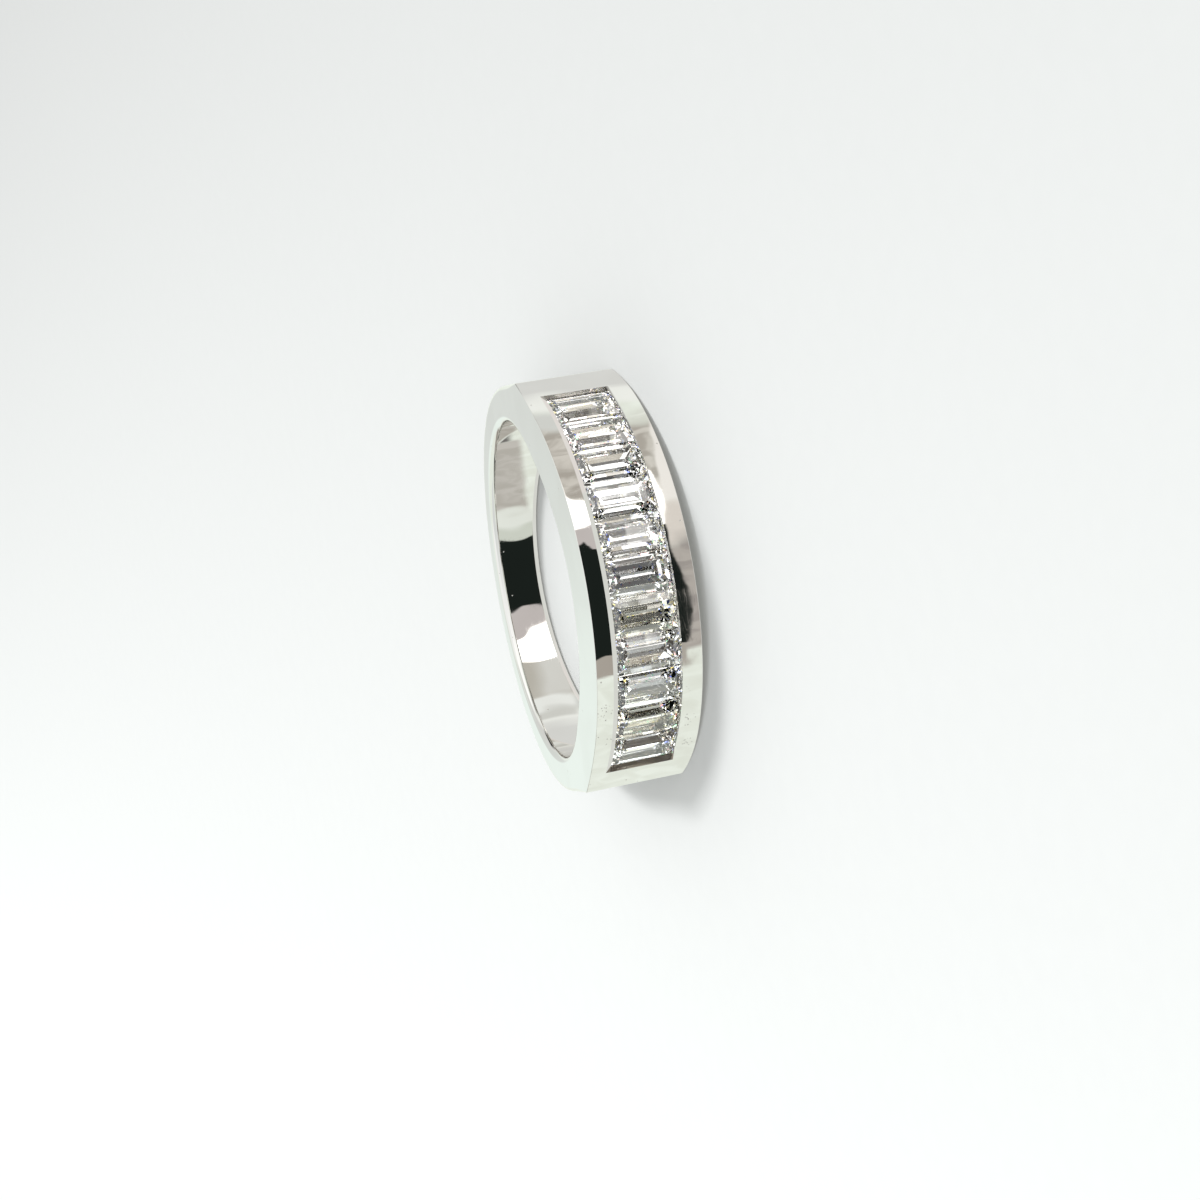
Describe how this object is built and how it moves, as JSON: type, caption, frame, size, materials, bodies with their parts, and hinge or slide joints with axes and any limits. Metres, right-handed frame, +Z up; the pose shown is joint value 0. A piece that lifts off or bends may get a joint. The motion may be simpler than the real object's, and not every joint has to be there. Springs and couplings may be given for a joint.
{
  "type": "baguette diamond ring",
  "caption": "Half-eternity finger ring: polished white gold band, broad at the head and drawn in to a slim shank, with a row of step-cut baguette diamonds channel-set across the head.",
  "frame": {"origin": "where the finger hole's axis meets the surface that the ring lies on", "axes": "+Z up from that surface; -Y towards the head and its stones; +X along the row of stones, from baguette_01 to baguette_11. The ring lies on one tapering side, so the finger hole's axis leans 5.5 degrees from +Z towards +Y"},
  "size_m": [0.0202, 0.0212, 0.0057],
  "materials": {
    "white_gold": "mirror-polished rhodium-plated white gold",
    "diamond": "polished step-cut facets, clear and colourless"
  },
  "bodies": {
    "root": {"band": "white_gold", "baguette_01": "diamond", "baguette_02": "diamond", "baguette_03": "diamond", "baguette_04": "diamond", "baguette_05": "diamond", "baguette_06": "diamond", "baguette_07": "diamond", "baguette_08": "diamond", "baguette_09": "diamond", "baguette_10": "diamond", "baguette_11": "diamond"}
  },
  "joints": []
}
